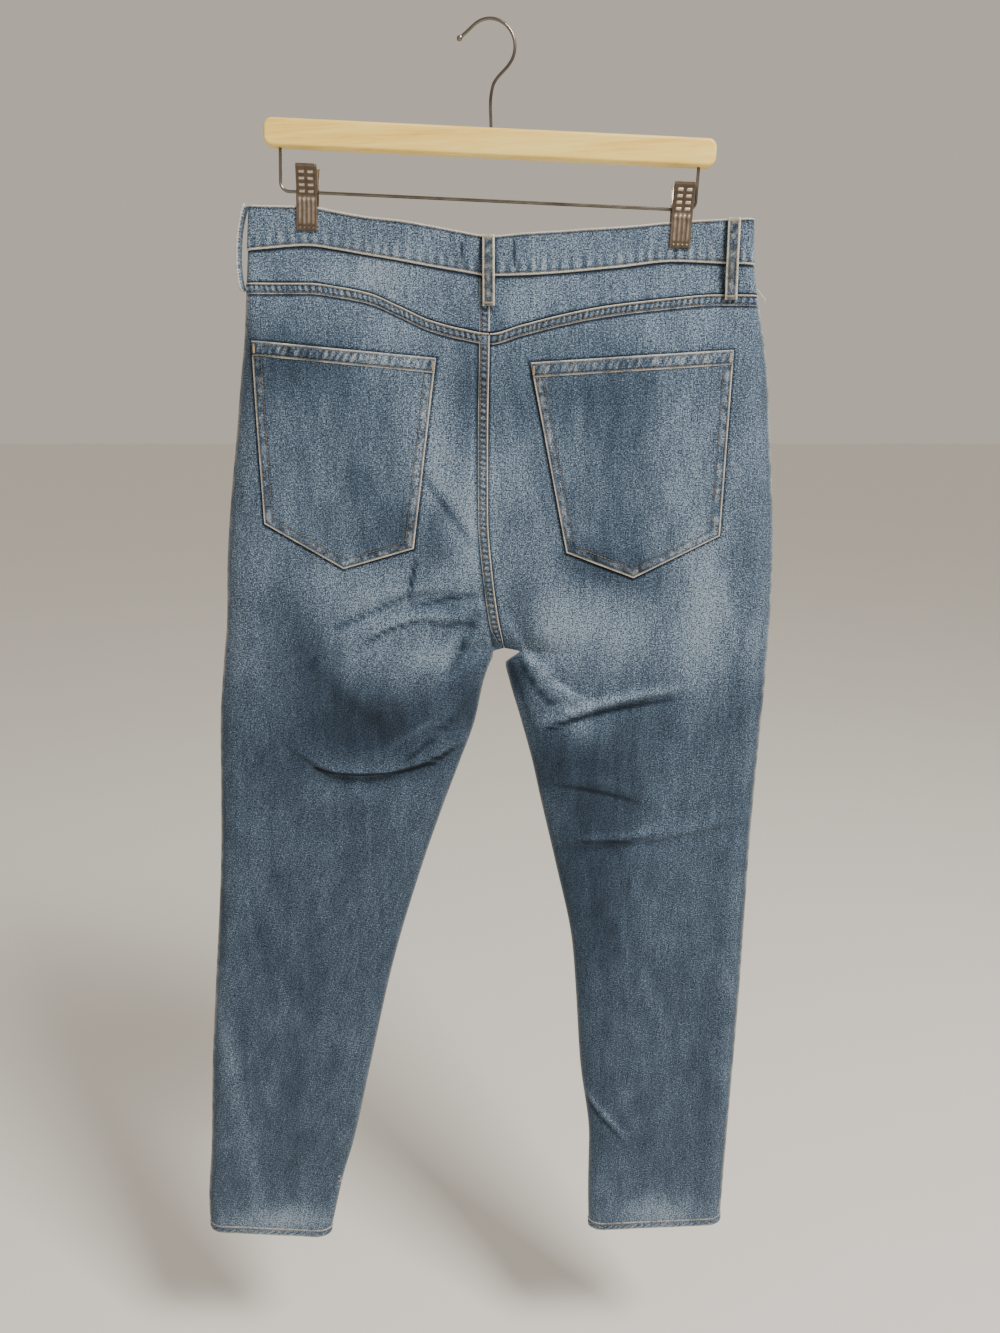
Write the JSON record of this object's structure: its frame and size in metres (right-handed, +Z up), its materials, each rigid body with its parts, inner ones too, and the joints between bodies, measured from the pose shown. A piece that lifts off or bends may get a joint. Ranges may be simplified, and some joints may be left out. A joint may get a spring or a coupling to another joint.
{
  "type": "jeans on a clip hanger",
  "caption": "High-waisted slim ankle jeans in faded light blue denim, hanging by the waist from a wooden bar hanger with spring clips.",
  "frame": {"origin": "the point inside the top of the hanger's hook where it hangs", "axes": "+Z up, +X to the right as seen from behind the garment, the back of the garment faces -Y and its front faces +Y"},
  "size_m": [0.5451, 0.0355, 1.1336],
  "materials": {
    "denim": "faded, worn pale along its seams and edges",
    "wood": "clear satin varnish",
    "steel": "nickel-plated, lightly tarnished"
  },
  "bodies": {
    "root": {"back_panel_left": "denim", "back_panel_right": "denim", "front_panel_left": "denim", "front_panel_right": "denim", "yoke_left": "denim", "yoke_right": "denim", "waistband_back": "denim", "waistband_front_left": "denim", "waistband_front_right": "denim", "back_pocket_left": "denim", "back_pocket_right": "denim", "front_facing_left": "denim", "front_facing_right": "denim", "belt_loop_centre_back": "denim", "belt_loop_right_back": "denim", "belt_loop_left_side": "denim", "belt_loop_left_front": "denim", "belt_loop_right_front": "denim", "fly": "denim", "button": "steel", "hanger_bar": "wood", "hanger_hook": "steel", "hanger_wire": "steel", "clip_jaw_back_left": "steel", "clip_jaw_front_left": "steel", "clip_spring_left": "steel", "clip_jaw_back_right": "steel", "clip_jaw_front_right": "steel", "clip_spring_right": "steel"}
  },
  "joints": []
}
